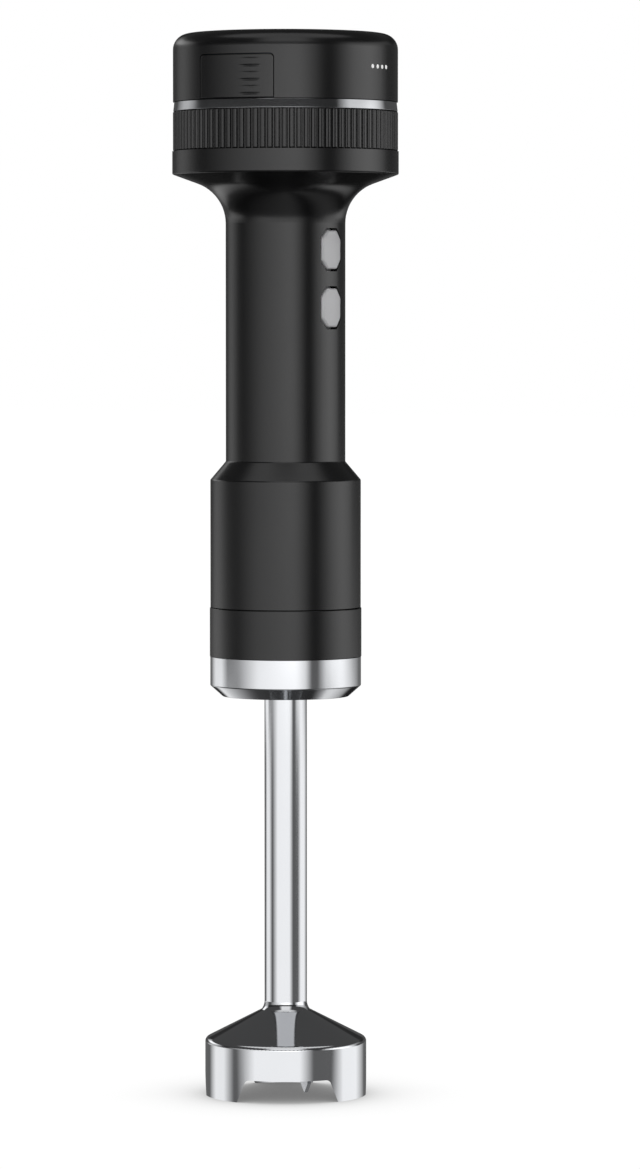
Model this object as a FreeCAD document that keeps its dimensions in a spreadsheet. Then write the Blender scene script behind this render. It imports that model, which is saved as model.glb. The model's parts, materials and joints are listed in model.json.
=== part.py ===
import FreeCAD, Part
import math
import os
import Sketcher

# A cordless immersion blender. +Z is up, the origin is on the floor under the middle of the bell, and the
# two push buttons face -Y. All lengths are millimetres and all turns are degrees.

DOC = FreeCAD.newDocument("immersion_blender")
SHEET = DOC.addObject("Spreadsheet::Sheet", "Sizes")

DRIVING_SIZES = {
    # Levels of the outside, from the floor up.
    "window_top_z": 8.7,
    "shoulder_z": 21.4,
    "bell_top_z": 32.5,
    "tube_flare_z": 35.8,
    "cup_bottom_z": 152.5,
    "cup_bevel_z": 156.7,
    "cup_top_z": 167.6,
    "arm_top_z": 186.3,
    "housing_z": 186.6,
    "body_top_z": 235.0,
    "grip_z": 242.0,
    "band_z": 350.9,
    "band_top_z": 359.6,
    "trim_z": 374.7,
    "trim_top_z": 378.05,
    "pack_z": 378.25,
    "pack_top_z": 404.0,
    # Radii of the outside.
    "bell_radius": 30.8,
    "bell_neck_radius": 9.2,
    "tube_radius": 8.1,
    "tube_flare_radius": 5.5,
    "cup_foot_radius": 24.0,
    "cup_radius": 28.75,
    "collar_radius": 28.9,
    "body_radius": 28.65,
    "grip_radius": 22.75,
    "band_radius": 43.0,
    "dial_radius": 42.75,
    "trim_radius": 42.6,
    "pack_radius": 42.7,
    "flare_slope": 20.0,
    "flare_round": 16.0,
    "pack_round": 6.0,
    # Walls and gaps.
    "housing_wall": 2.2,
    "sheet_wall": 1.0,
    "pack_wall": 2.2,
    "slide_gap": 0.3,
    "running_gap": 0.03,
    # Bell windows.
    "window_turn": 221.0,
    "window_foot_half": 39.5,
    "window_head_half": 31.0,
    # Speed dial.
    "neck_radius": 37.9,
    "neck_wall": 2.5,
    "rib_count": 96,
    "rib_depth": 0.75,
    # Push buttons.
    "start_z": 322.2,
    "turbo_z": 300.3,
    "button_width": 10.7,
    "button_height": 14.6,
    "button_corner_width": 2.8,
    "button_corner_height": 3.4,
    "button_gap": 0.45,
    "button_end_gap": 0.85,
    "button_face_radius": 23.35,
    "button_flange_y": 18.6,
    "flange_thickness": 1.2,
    "board_y": 11.5,
    "board_thickness": 1.6,
    # Screws.
    "pilot_radius": 1.0,
    "post_circle": 24.3,
    "deck_circle": 32.8,
    "pack_screw_circle": 33.8,
    "motor_screw_circle": 13.5,
    "screw_turn": 45.0,
    # Battery pack. It is turned as a whole, so that its release button faces away from the push buttons.
    "head_turn": -77.6,
    "release_half_width": 15.4,
    "release_top_z": 394.7,
    "release_back_y": 38.9,
    "release_travel": 2.0,
    "ridge_pitch": 2.6,
    "light_z": 390.6,
    "light_turn": 77.0,
    "light_pitch": 4.13,
    "light_radius": 0.6,
    "cell_radius": 9.2,
    "cell_length": 50.0,
    "cell_z": 392.4,
    "floor_radius": 38.1,
    "plug_radius": 36.2,
    # Motor.
    "motor_z": 203.6,
    "motor_length": 48.0,
    "motor_radius": 19.0,
    "shaft_radius": 2.5,
    "core_radius": 14.2,
    # Lock between the arm and the housing.
    "socket_radius": 26.2,
    "spigot_radius": 18.0,
    "spigot_top_z": 197.0,
    "lug_radius": 21.0,
    "lug_half": 14.0,
    "lug_gap": 2.0,
    "lock_radius": 22.2,
    "lip_z": 191.1,
    "jaw_half": 20.0,
    "jaw_inner": 5.5,
    "jaw_outer": 11.0,
    # Blade.
    "blade_z": 8.3,
    "blade_thickness": 1.6,
    "blade_reach": 21.5,
    "blade_turn": 72.2,
}

for row, (alias, value) in enumerate(DRIVING_SIZES.items(), start=1):
    SHEET.set(f"A{row}", str(value))
    SHEET.setAlias(f"A{row}", alias)
DOC.recompute()


class Size:
    """A number together with the sheet formula that gives it."""

    def __init__(self, value, formula):
        self.value = value
        self.formula = formula

    def __add__(self, other):
        other = as_size(other)
        return Size(self.value + other.value, f"({self.formula} + {other.formula})")

    def __sub__(self, other):
        other = as_size(other)
        return Size(self.value - other.value, f"({self.formula} - {other.formula})")

    def __rsub__(self, other):
        return as_size(other) - self

    def __mul__(self, other):
        other = as_size(other)
        return Size(self.value * other.value, f"({self.formula} * {other.formula})")

    def __truediv__(self, other):
        other = as_size(other)
        return Size(self.value / other.value, f"({self.formula} / {other.formula})")

    def __neg__(self):
        return Size(-self.value, f"(0 - {self.formula})")

    __radd__ = __add__
    __rmul__ = __mul__


def as_size(number):
    """A bare number becomes a Size whose formula is the number itself."""
    if isinstance(number, Size):
        return number
    return Size(float(number), f"({float(number)!r})")


def size(alias):
    """The driving size of that name, bound to its cell."""
    return Size(float(DRIVING_SIZES[alias]), f"Sizes.{alias}")


def cosine(angle):
    angle = as_size(angle)
    return Size(math.cos(math.radians(angle.value)), f"cos({angle.formula})")


def sine(angle):
    angle = as_size(angle)
    return Size(math.sin(math.radians(angle.value)), f"sin({angle.formula})")


def tangent(angle):
    return sine(angle) / cosine(angle)


SUBPARTS = []
TINY = 1e-7
CONTACT_PLACES = (-6.0, 0.0, 6.0)
CELL_ROWS = (-17.0, 1.6, 20.2)
PACK_SCREW_TURNS = (20, 160, 200, 330)
STANDOFF_HEIGHT = 6.3
RELEASE_CORNER = 1.7
MOTOR_SCREW_HEAD = 2.2


def bind(thing, path, amount):
    """Set a property of an object from the sheet."""
    thing.setExpression(path, as_size(amount).formula)


def keep(thing, name, turn=None):
    """Make an object a sub-part: its Label names its file, and turn swings it about the Z axis."""
    thing.Label = name
    about_z = FreeCAD.Rotation(FreeCAD.Vector(0, 0, 1), 1)
    thing.Placement = FreeCAD.Placement(FreeCAD.Vector(0, 0, 0), about_z)
    bind(thing, ".Placement.Rotation.Angle", turn if turn is not None else 0)
    SUBPARTS.append(thing)
    return thing


def origin_feature(body, role):
    return next(feature for feature in body.Origin.OriginFeatures if feature.Role == role)


def new_body(name):
    return DOC.addObject("PartDesign::Body", name)


def pin_point(sketch, side, end, x, y):
    """Fix the end of one side of a sketch at (x, y)."""
    x, y = as_size(x), as_size(y)
    for kind, across_axis, amount in (("DistanceX", -2, x), ("DistanceY", -1, y)):
        if abs(amount.value) < TINY:
            sketch.addConstraint(Sketcher.Constraint("PointOnObject", side, end, across_axis))
        elif amount.value > 0:
            place = sketch.addConstraint(Sketcher.Constraint(kind, -1, 1, side, end, amount.value))
            sketch.setExpression(f"Constraints[{place}]", amount.formula)
        else:
            place = sketch.addConstraint(Sketcher.Constraint(kind, side, end, -1, 1, -amount.value))
            sketch.setExpression(f"Constraints[{place}]", (-amount).formula)


def flat(x, y):
    return FreeCAD.Vector(as_size(x).value, as_size(y).value, 0)


def arc_side(start, finish, bend):
    """An arc from start to finish; a positive radius turns left and a negative one turns right."""
    chord = finish - start
    middle = (start + finish) * 0.5
    left = FreeCAD.Vector(-chord.y, chord.x, 0).normalize()
    rise = math.sqrt(max(bend * bend - chord.Length * chord.Length / 4, 0))
    centre = middle + left * math.copysign(rise, bend)
    first, last = (start, finish) if bend > 0 else (finish, start)
    angles = [math.atan2(point.y - centre.y, point.x - centre.x) for point in (first, last)]
    circle = Part.Circle(centre, FreeCAD.Vector(0, 0, 1), abs(bend))
    return Part.ArcOfCircle(circle, angles[0], angles[1])


def add_outline(sketch, corners):
    """Add a closed outline. A corner is (x, y), or (x, y, radius) where the side that ends there curves."""
    first_side = sketch.GeometryCount
    ends = []
    for index, corner in enumerate(corners):
        start = flat(*corners[index - 1][:2])
        finish = flat(*corner[:2])
        if len(corner) == 2:
            sketch.addGeometry(Part.LineSegment(start, finish), False)
            ends.append((1, 2))
        else:
            sketch.addGeometry(arc_side(start, finish, as_size(corner[2]).value), False)
            ends.append((1, 2) if as_size(corner[2]).value > 0 else (2, 1))
    for index, corner in enumerate(corners):
        here = first_side + index
        after = first_side + (index + 1) % len(corners)
        next_start = ends[(index + 1) % len(corners)][0]
        sketch.addConstraint(Sketcher.Constraint("Coincident", here, ends[index][1], after, next_start))
        pin_point(sketch, here, ends[index][1], corner[0], corner[1])
        if len(corner) == 3:
            bend = as_size(corner[2])
            bend = bend if bend.value > 0 else -bend
            place = sketch.addConstraint(Sketcher.Constraint("Radius", here, bend.value))
            sketch.setExpression(f"Constraints[{place}]", bend.formula)


def add_circle(sketch, x, y, radius):
    side = sketch.GeometryCount
    radius = as_size(radius)
    sketch.addGeometry(Part.Circle(flat(x, y), FreeCAD.Vector(0, 0, 1), radius.value), False)
    pin_point(sketch, side, 3, x, y)
    place = sketch.addConstraint(Sketcher.Constraint("Radius", side, radius.value))
    sketch.setExpression(f"Constraints[{place}]", radius.formula)


def new_sketch(body, plane, outlines, offset=0, turn=0):
    """A sketch on an origin plane, moved along the plane's normal and turned about the vertical axis.

    A list is an outline and a tuple is a circle (x, y, radius).
    """
    sketch = body.newObject("Sketcher::SketchObject", f"{body.Name}_sketch")
    sketch.AttachmentSupport = [(origin_feature(body, plane), "")]
    sketch.MapMode = "FlatFace"
    offset = as_size(offset)
    turn = as_size(turn)
    if plane == "XY_Plane":
        sketch.AttachmentOffset = FreeCAD.Placement(FreeCAD.Vector(0, 0, offset.value), FreeCAD.Rotation())
        bind(sketch, "AttachmentOffset.Base.z", offset)
    else:
        spin = FreeCAD.Rotation(FreeCAD.Vector(0, 1, 0), turn.value if abs(turn.value) > TINY else 1)
        sketch.AttachmentOffset = FreeCAD.Placement(FreeCAD.Vector(0, 0, offset.value), spin)
        bind(sketch, "AttachmentOffset.Rotation.Angle", turn)
        bind(sketch, "AttachmentOffset.Base.z", offset * cosine(turn))
        bind(sketch, "AttachmentOffset.Base.x", offset * sine(turn))
    for outline in outlines:
        if isinstance(outline, tuple):
            add_circle(sketch, *outline)
        else:
            add_outline(sketch, outline)
    return sketch


def spin_profile(body, outline, kind="PartDesign::Revolution", sweep=360, turn=0):
    """Revolve an outline of (radius, z) corners about the Z axis, or cut it away with a groove."""
    sketch = new_sketch(body, "XZ_Plane", [outline], turn=turn)
    feature = body.newObject(kind, f"{body.Name}_spin")
    feature.Profile = sketch
    feature.ReferenceAxis = (sketch, ["V_Axis"])
    feature.Midplane = sweep != 360
    feature.Angle = sweep
    return feature


def pad(body, plane, outlines, length, offset=0, turn=0):
    """Raise outlines along the plane's normal: up from XY_Plane, and outwards to the front from XZ_Plane."""
    feature = body.newObject("PartDesign::Pad", f"{body.Name}_pad")
    feature.Profile = new_sketch(body, plane, outlines, offset, turn)
    bind(feature, "Length", length)
    return feature


def pocket(body, plane, outlines, length, offset=0, turn=0):
    """Cut outlines away along the plane's normal, and check that the cut takes something off."""
    DOC.recompute()
    before = body.Shape.Volume
    feature = body.newObject("PartDesign::Pocket", f"{body.Name}_pocket")
    feature.Profile = new_sketch(body, plane, outlines, offset, turn)
    feature.Reversed = True
    bind(feature, "Length", length)
    DOC.recompute()
    if body.Shape.Volume > before - TINY:
        raise RuntimeError(f"a pocket in {body.Name} cuts nothing")
    return feature


def polar(body, features, count, sweep=360):
    """Repeat features about the Z axis."""
    pattern = body.newObject("PartDesign::PolarPattern", f"{body.Name}_pattern")
    pattern.Originals = features
    pattern.Axis = (origin_feature(body, "Z_Axis"), [""])
    bind(pattern, "Angle", sweep)
    pattern.Occurrences = count
    body.Tip = pattern
    return pattern


def ring_edges(body, radius, z):
    """The names of the round edges of that radius at that level."""
    found = []
    for index, edge in enumerate(body.Shape.Edges, start=1):
        curve = edge.Curve
        if isinstance(curve, Part.Circle) and abs(curve.Radius - as_size(radius).value) < 0.01:
            if abs(curve.Center.z - as_size(z).value) < 0.01 and abs(curve.Axis.z) > 0.99:
                found.append(f"Edge{index}")
    return found


def round_edges(body, radius, rings):
    """Round the circular edges given as (radius, z) pairs."""
    DOC.recompute()
    names = [name for ring_radius, z in rings for name in ring_edges(body, ring_radius, z)]
    if not names:
        raise RuntimeError(f"no edge to round on {body.Name}")
    base = body.Tip
    feature = body.newObject("PartDesign::Fillet", f"{body.Name}_edge")
    feature.Base = (base, names)
    bind(feature, "Radius", radius)


def ring(inner, outer, low, high):
    """The outline of a ring or, with an inner radius of 0, of a disc, for spin_profile."""
    return [(inner, low), (outer, low), (outer, high), (inner, high)]


def box_outline(half_width, low, high):
    """A rectangle that is symmetric about the vertical axis."""
    half_width = as_size(half_width)
    return [(-half_width, low), (half_width, low), (half_width, high), (-half_width, high)]


def arched_box(half_width, low, high, corner):
    """The same rectangle with its two upper corners rounded."""
    inner, shoulder = half_width - corner, high - corner
    foot = [(-half_width, low), (half_width, low)]
    head = [(inner, high, corner), (-inner, high), (-half_width, shoulder, corner)]
    return foot + [(half_width, shoulder)] + head


def at_angle(radius, angle):
    return radius * cosine(angle), radius * sine(angle)


def sector(inner, outer, middle, half):
    """The outline of part of a ring, for pads and pockets on XY_Plane."""
    inner, outer, middle = as_size(inner), as_size(outer), as_size(middle)
    start, finish = middle - half, middle + half
    return [
        (*at_angle(inner, start), -inner),
        at_angle(outer, start),
        (*at_angle(outer, finish), outer),
        at_angle(inner, finish),
    ]


def spun(name, outline, turn=None):
    """A sub-part that is one revolved outline."""
    body = new_body(name)
    spin_profile(body, outline)
    return keep(body, name, turn)


# ---- Housing: the fixed body with the grip, from the arm's seam up to the speed dial ----

def cut_corners(half_width, low, high):
    """An upright oblong with its four corners cut off at a slant."""
    half_width, low, high = as_size(half_width), as_size(low), as_size(high)
    inner = half_width - size("button_corner_width")
    foot, head = low + size("button_corner_height"), high - size("button_corner_height")
    right = [(inner, low), (half_width, foot), (half_width, head), (inner, high)]
    left = [(-inner, high), (-half_width, head), (-half_width, foot), (-inner, low)]
    return right + left


def make_main_housing():
    """One hollow moulding: motor body, grip, flared head, and the neck that the dial turns on."""
    wall = size("housing_wall")
    body_r, grip_r, band_r = size("body_radius"), size("grip_radius"), size("band_radius")
    neck_in = size("neck_radius") - size("neck_wall")
    corner_z = size("band_z") - (band_r - grip_r) * tangent(size("flare_slope"))
    body = new_body("main_housing")
    spin_profile(body, [
        (body_r, size("housing_z")),
        (body_r, size("body_top_z")),
        (grip_r, size("grip_z")),
        (grip_r, corner_z),
        (band_r, size("band_z")),
        (band_r, size("band_top_z")),
        (size("neck_radius"), size("band_top_z")),
        (size("neck_radius"), size("trim_z")),
        (neck_in, size("trim_z")),
        (neck_in, size("band_z") + wall),
        (grip_r - wall, corner_z + wall / 2),
        (grip_r - wall, size("grip_z") - wall / 2),
        (body_r - wall, size("body_top_z") - wall / 2),
        (body_r - wall, size("housing_z")),
    ])
    round_edges(body, size("flare_round"), [(grip_r, corner_z)])
    soft_edge = 0.7
    for radius, level in ((body_r, "body_top_z"), (grip_r, "grip_z"), (band_r, "band_z")):
        round_edges(body, soft_edge, [(radius, size(level))])
    for level in ("start_z", "turbo_z"):
        half_height = size("button_height") / 2 + size("button_end_gap")
        half_width = size("button_width") / 2 + size("button_gap")
        outline = cut_corners(half_width, size(level) - half_height, size(level) + half_height)
        pocket(body, "XZ_Plane", [outline], band_r)
    socket_post, deck_post = {"height": 20.0, "thickness": 2.5}, {"height": 9.0, "thickness": 3.2}
    deck_turn = size("head_turn") + size("screw_turn")
    add_posts(body, size("post_circle"), 0, size("motor_z") + 0.4, **socket_post)
    add_posts(body, size("deck_circle"), deck_turn, size("trim_z") - 2.3 - deck_post["height"], **deck_post)
    return keep(body, "main_housing")


def add_posts(body, radius, turn, low, height, thickness):
    """Four screw posts inside a wall, each with a pilot hole from one end to the other."""
    middle = at_angle(radius, turn)
    post = pad(body, "XY_Plane", [(*middle, thickness)], height, offset=low)
    pilot = pocket(body, "XY_Plane", [(*middle, size("pilot_radius"))], height, offset=low)
    polar(body, [post, pilot], 4)


def make_screws(name, radius, turn, head_radius, head_low, head_high, tip, count=4, frame_turn=None):
    """Identical upright screws round a circle, each with its head at one end and a plain shank."""
    body = new_body(name)
    middle = at_angle(radius, turn)
    shank_outline = (*middle, size("pilot_radius"))
    drive_outline = (*middle, head_radius / 2)
    drive_depth = 0.6
    head = pad(body, "XY_Plane", [(*middle, head_radius)], head_high - head_low, offset=head_low)
    if tip.value > head_high.value:
        shank = pad(body, "XY_Plane", [shank_outline], tip - head_high, offset=head_high)
        drive = pocket(body, "XY_Plane", [drive_outline], drive_depth, offset=head_low)
    else:
        shank = pad(body, "XY_Plane", [shank_outline], head_low - tip, offset=tip)
        drive = pocket(body, "XY_Plane", [drive_outline], drive_depth, offset=head_high - drive_depth)
    polar(body, [head, shank, drive], count)
    return keep(body, name, frame_turn)


def make_head():
    """The bright trim ring on the neck, and the deck with its contacts under the battery pack."""
    trim = new_body("trim_ring")
    outer, low, high = size("trim_radius"), size("trim_z"), size("trim_top_z")
    spin_profile(trim, ring(size("plug_radius") + size("slide_gap"), outer, low, high))
    fine_edge = 0.3
    round_edges(trim, fine_edge, [(outer, high), (outer, low)])
    keep(trim, "trim_ring")

    deck_z, deck_thick = size("trim_z") - 2.3, 2.5
    deck_top = deck_z + deck_thick
    make_deck(deck_z, deck_top)
    screw_low = deck_z + 1.1
    make_screws("deck_screws", size("deck_circle"), size("screw_turn"), 2.2, screw_low, screw_low + 1.2,
                deck_z - 6.0, frame_turn=size("head_turn"))

    block = new_body("contact_block")
    block_outline = [(-33.0, -9.0), (-27.0, -9.0), (-27.0, 9.0), (-33.0, 9.0)]
    block_height = 2.0
    pad(block, "XY_Plane", [block_outline], block_height, offset=deck_top)
    for middle in CONTACT_PLACES:
        pocket(block, "XY_Plane", [blade_outline(middle, 0)], block_height, offset=deck_top)
    keep(block, "contact_block", size("head_turn"))

    blades = new_body("contact_blades")
    blade_height = 11.5
    outlines = [blade_outline(middle, 0) for middle in CONTACT_PLACES]
    pad(blades, "XY_Plane", outlines, blade_height, offset=deck_z)
    keep(blades, "contact_blades", size("head_turn"))

    board = new_body("control_board")
    board_radius = 28.5
    board_top = deck_z - STANDOFF_HEIGHT
    spin_profile(board, ring(0, board_radius, board_top - size("board_thickness"), board_top))
    keep(board, "control_board", size("head_turn"))
    make_power_parts(board_top)


def make_deck(low, top):
    """The plate across the neck, with its screw holes, the board's standoffs and the pack's catch."""
    deck = new_body("top_deck")
    fit = 0.1
    spin_profile(deck, ring(0, size("neck_radius") - size("neck_wall") - fit, low, top))
    screw_place = at_angle(size("deck_circle"), size("screw_turn"))
    recess_depth, recess_radius = 1.4, 2.3
    standoff_place = at_angle(as_size(24.0), 0)
    standoff_radius = 2.6
    hole = pocket(deck, "XY_Plane", [(*screw_place, size("pilot_radius"))], top - low, offset=low)
    recess_low = top - recess_depth
    recess = pocket(deck, "XY_Plane", [(*screw_place, recess_radius)], recess_depth, offset=recess_low)
    standoff = pad(deck, "XY_Plane", [(*standoff_place, standoff_radius)], STANDOFF_HEIGHT,
                   offset=low - STANDOFF_HEIGHT)
    polar(deck, [hole, recess, standoff], 4)
    catch = [(-5.0, -34.7), (5.0, -34.7), (5.0, -33.9), (-5.0, -33.9)]
    catch_height = 1.8
    deck.Tip = pad(deck, "XY_Plane", [catch], catch_height, offset=top)
    for middle in CONTACT_PLACES:
        pocket(deck, "XY_Plane", [blade_outline(middle, 0)], 2 * (top - low), offset=low)
    keep(deck, "top_deck", size("head_turn"))


def make_power_parts(board_top):
    """The capacitors and the four power transistors on the control board."""
    parts = new_body("power_parts")
    capacitors = [(8.0, -6.0, 5.0), (-6.0, -10.0, 4.0)]
    capacitor_height, transistor_height = 5.5, 2.2
    pad(parts, "XY_Plane", capacitors, capacitor_height, offset=board_top)
    transistors = [[(x, 8.0), (x + 4.5, 8.0), (x + 4.5, 14.0), (x, 14.0)] for x in (-15.0, -8.5, -2.0, 4.5)]
    pad(parts, "XY_Plane", transistors, transistor_height, offset=board_top)
    keep(parts, "power_parts", size("head_turn"))


def blade_outline(middle, play):
    """The section of one flat contact, grown by the play round it."""
    low, high = middle - 0.4 - play, middle + 0.4 + play
    return [(-32.0 - play, low), (-28.0 + play, low), (-28.0 + play, high), (-32.0 - play, high)]


def make_dial():
    """The ribbed ring that sets the speed, with the magnet that the control board reads."""
    low, high = size("band_top_z") + 0.12, size("trim_z") - 0.12
    inner = size("neck_radius") + size("slide_gap")
    count = int(size("rib_count").value)
    peak, valley = size("dial_radius").value, (size("dial_radius") - size("rib_depth")).value
    pitch = 2 * math.pi / count
    sides = []
    for index in range(count):
        start, top, finish, after = [index * pitch + part * pitch for part in (0, 0.4, 0.8, 1.0)]
        points = [FreeCAD.Vector(reach * math.cos(turn), reach * math.sin(turn), low.value)
                  for reach, turn in ((valley, start), (peak, top), (valley, finish), (valley, after))]
        sides.append(Part.Arc(*points[:3]).toShape())
        sides.append(Part.LineSegment(points[2], points[3]).toShape())
    face = Part.Face(Part.Wire(sides))
    height = (high - low).value
    outside = face.extrude(FreeCAD.Vector(0, 0, height))
    bore = Part.makeCylinder(inner.value, height, FreeCAD.Vector(0, 0, low.value))
    magnet_depth, magnet_width, magnet_height = 1.2, 6.0, 7.0
    magnet_x, magnet_z = inner + 0.4, low + 4
    overlap, play = 1.0, 0.1
    corner = FreeCAD.Vector(inner.value - overlap, -magnet_width / 2, magnet_z.value)
    seat_depth = (magnet_x - inner).value + overlap + magnet_depth + play
    seat = Part.makeBox(seat_depth, magnet_width, magnet_height, corner)
    dial = DOC.addObject("Part::Feature", "dial_ring")
    dial.Shape = outside.cut(bore).cut(seat)
    keep(dial, "dial_ring")
    magnet = DOC.addObject("Part::Box", "dial_magnet")
    magnet.Label = "dial_magnet"
    bind(magnet, "Length", magnet_depth)
    bind(magnet, "Width", magnet_width)
    bind(magnet, "Height", magnet_height)
    bind(magnet, ".Placement.Base.x", magnet_x)
    bind(magnet, ".Placement.Base.y", -magnet_width / 2)
    bind(magnet, ".Placement.Base.z", magnet_z)
    SUBPARTS.append(magnet)


def make_button(name, level):
    """A push button with its flange behind the housing wall, and the rubber dome that returns it."""
    z = size(level)
    half_width, half_height = size("button_width") / 2, size("button_height") / 2
    flange_y, thick = size("button_flange_y"), size("flange_thickness")
    cap_depth, lap = 6.0, 1.5
    plunger_radius, plunger_length = 2.0, 1.2
    body = new_body(f"{name}_button")
    face = cut_corners(half_width, z - half_height, z + half_height)
    pad(body, "XZ_Plane", [face], cap_depth, offset=flange_y)
    spin_profile(body, ring(size("button_face_radius"), 30.0, z - 12, z + 12), "PartDesign::Groove")
    flange = box_outline(half_width + lap, z - half_height - lap, z + half_height + lap)
    pad(body, "XZ_Plane", [flange], thick, offset=flange_y - thick)
    pad(body, "XZ_Plane", [(0, z, plunger_radius)], plunger_length, offset=flange_y - thick - plunger_length)
    keep(body, f"{name}_button")

    dome = new_body(f"{name}_dome")
    half_base_width, half_base_height, base_thick = 7.0, 8.0, 0.8
    dome_radius, dome_height, skin = 4.2, 4.5, 0.6
    base = box_outline(half_base_width, z - half_base_height, z + half_base_height)
    pad(dome, "XZ_Plane", [base], base_thick, offset=size("board_y"))
    pad(dome, "XZ_Plane", [(0, z, dome_radius)], dome_height, offset=size("board_y"))
    pocket(dome, "XZ_Plane", [(0, z, dome_radius - skin)], dome_height - skin, offset=size("board_y"))
    keep(dome, f"{name}_dome")


def make_switches():
    """The upright switch board behind the buttons, its two switches and the carrier that holds it."""
    board_y, thick = size("board_y"), size("board_thickness")
    end = 10.0
    low, high = size("turbo_z") - end, size("start_z") + end
    half_board = 8.0
    board = new_body("switch_board")
    pad(board, "XZ_Plane", [box_outline(half_board, low, high)], thick, offset=board_y - thick)
    keep(board, "switch_board")
    half_switch, switch_height = 2.2, 2.0
    switches = new_body("tact_switches")
    for level in ("start_z", "turbo_z"):
        z = size(level)
        outline = box_outline(half_switch, z - half_switch, z + half_switch)
        pad(switches, "XZ_Plane", [outline], switch_height, offset=board_y)
    keep(switches, "tact_switches")
    carrier = new_body("switch_carrier")
    floor_thick, rib_inner, rib_outer, rib_height = 1.4, 8.1, 10.0, 7.6
    foot, top = low - 2.0, high + 2.0
    back_y = board_y - thick - floor_thick
    pad(carrier, "XZ_Plane", [box_outline(rib_outer, foot, top)], floor_thick, offset=back_y)
    for side in (-1, 1):
        near, far = side * rib_inner, side * rib_outer
        edge = [(near, foot), (far, foot), (far, top), (near, top)]
        pad(carrier, "XZ_Plane", [edge[::side]], rib_height, offset=board_y - thick)
    keep(carrier, "switch_carrier")


# ---- Motor ----

def make_motor():
    """A brushed motor: can, magnets, end cap, brushes and bearings, which stay with the housing."""
    low = size("motor_z")
    high = low + size("motor_length")
    can_r, shaft_r = size("motor_radius"), size("shaft_radius")
    wall, mouth = 1.3, 4.0
    can_floor = low + 1.5
    bearing_top, bearing_r = can_floor + 4.0, 7.0
    seat_r = bearing_r + 2.0
    can = new_body("motor_can")
    spin_profile(can, [
        (mouth, low), (can_r, low), (can_r, high), (can_r - wall, high), (can_r - wall, can_floor),
        (seat_r, can_floor), (seat_r, bearing_top), (bearing_r, bearing_top), (bearing_r, can_floor),
        (mouth, can_floor),
    ])
    screw_place = at_angle(size("motor_screw_circle"), size("screw_turn"))
    thread = pocket(can, "XY_Plane", [(*screw_place, size("pilot_radius"))], can_floor - low, offset=low)
    polar(can, [thread], 2)
    keep(can, "motor_can")
    shaft_hole = shaft_r + size("running_gap")
    spun("lower_motor_bearing", ring(shaft_hole, bearing_r, can_floor, bearing_top))

    magnets = new_body("motor_magnets")
    shoe_inner, shoe_half, shoe_low, shoe_high = 14.9, 62, low + 7.0, high - 8.0
    shoe_outline = sector(shoe_inner, can_r - wall, 90, shoe_half)
    shoe = pad(magnets, "XY_Plane", [shoe_outline], shoe_high - shoe_low, offset=shoe_low)
    polar(magnets, [shoe], 2)
    keep(magnets, "motor_magnets")

    make_brush_gear(high, can_r, shaft_hole)
    leads = new_body("motor_leads")
    cap_top = high + 2.0
    board_low = size("trim_z") - 10.2
    pad(leads, "XY_Plane", [(12.5, 6.0, 0.9), (-12.5, 6.0, 0.9)], board_low - cap_top, offset=cap_top)
    keep(leads, "motor_leads")

    mount = new_body("motor_mount")
    mount_thick, opening = 4.0, 9.0
    mount_low = low - mount_thick
    spin_profile(mount, ring(opening, size("socket_radius"), mount_low, low))
    post_hole = (size("post_circle"), 0, size("pilot_radius"))
    hole = pocket(mount, "XY_Plane", [post_hole], mount_thick, offset=mount_low)
    polar(mount, [hole], 4)
    bolt = pocket(mount, "XY_Plane", [(*screw_place, size("pilot_radius"))], mount_thick, offset=mount_low)
    recess_radius, recess_depth = MOTOR_SCREW_HEAD + 0.1, 2.0
    recess = pocket(mount, "XY_Plane", [(*screw_place, recess_radius)], recess_depth, offset=mount_low)
    polar(mount, [bolt, recess], 2)
    keep(mount, "motor_mount")
    make_screws("motor_screws", size("motor_screw_circle"), size("screw_turn"), MOTOR_SCREW_HEAD,
                mount_low + 0.2, mount_low + recess_depth, can_floor, count=2)


def make_brush_gear(high, can_r, shaft_hole):
    """The end cap with its bearing, and the two carbon brushes in their holders."""
    cap_thick, seat_inner, seat_outer, seat_height = 2.0, 6.0, 9.0, 4.0
    cap_top, seat_top = high + cap_thick, high + cap_thick + seat_height
    shaft_clear = size("shaft_radius") + 1.0
    cap = new_body("motor_end_cap")
    spin_profile(cap, [
        (shaft_clear, high), (can_r, high), (can_r, cap_top), (seat_outer, cap_top), (seat_outer, seat_top),
        (seat_inner, seat_top), (seat_inner, cap_top), (shaft_clear, cap_top),
    ])
    holder_half, brush_half, brush_low, brush_height = 3.2, 2.0, high - 5.0, 4.0
    holder = [(6.6, -holder_half), (14.0, -holder_half), (14.0, holder_half), (6.6, holder_half)]
    guide = [(6.6, -brush_half), (12.5, -brush_half), (12.5, brush_half), (6.6, brush_half)]
    block = [(6.15, -brush_half), (11.5, -brush_half), (11.5, brush_half), (6.15, brush_half)]
    holder_height = 5.5
    arm = pad(cap, "XY_Plane", [holder], holder_height, offset=high - holder_height)
    slot = pocket(cap, "XY_Plane", [guide], brush_height, offset=brush_low)
    polar(cap, [arm, slot], 2)
    keep(cap, "motor_end_cap")
    spun("upper_motor_bearing", ring(shaft_hole, seat_inner, cap_top, seat_top))

    brushes = new_body("carbon_brushes")
    brush = pad(brushes, "XY_Plane", [block], brush_height, offset=brush_low)
    polar(brushes, [brush], 2)
    keep(brushes, "carbon_brushes")


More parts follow.
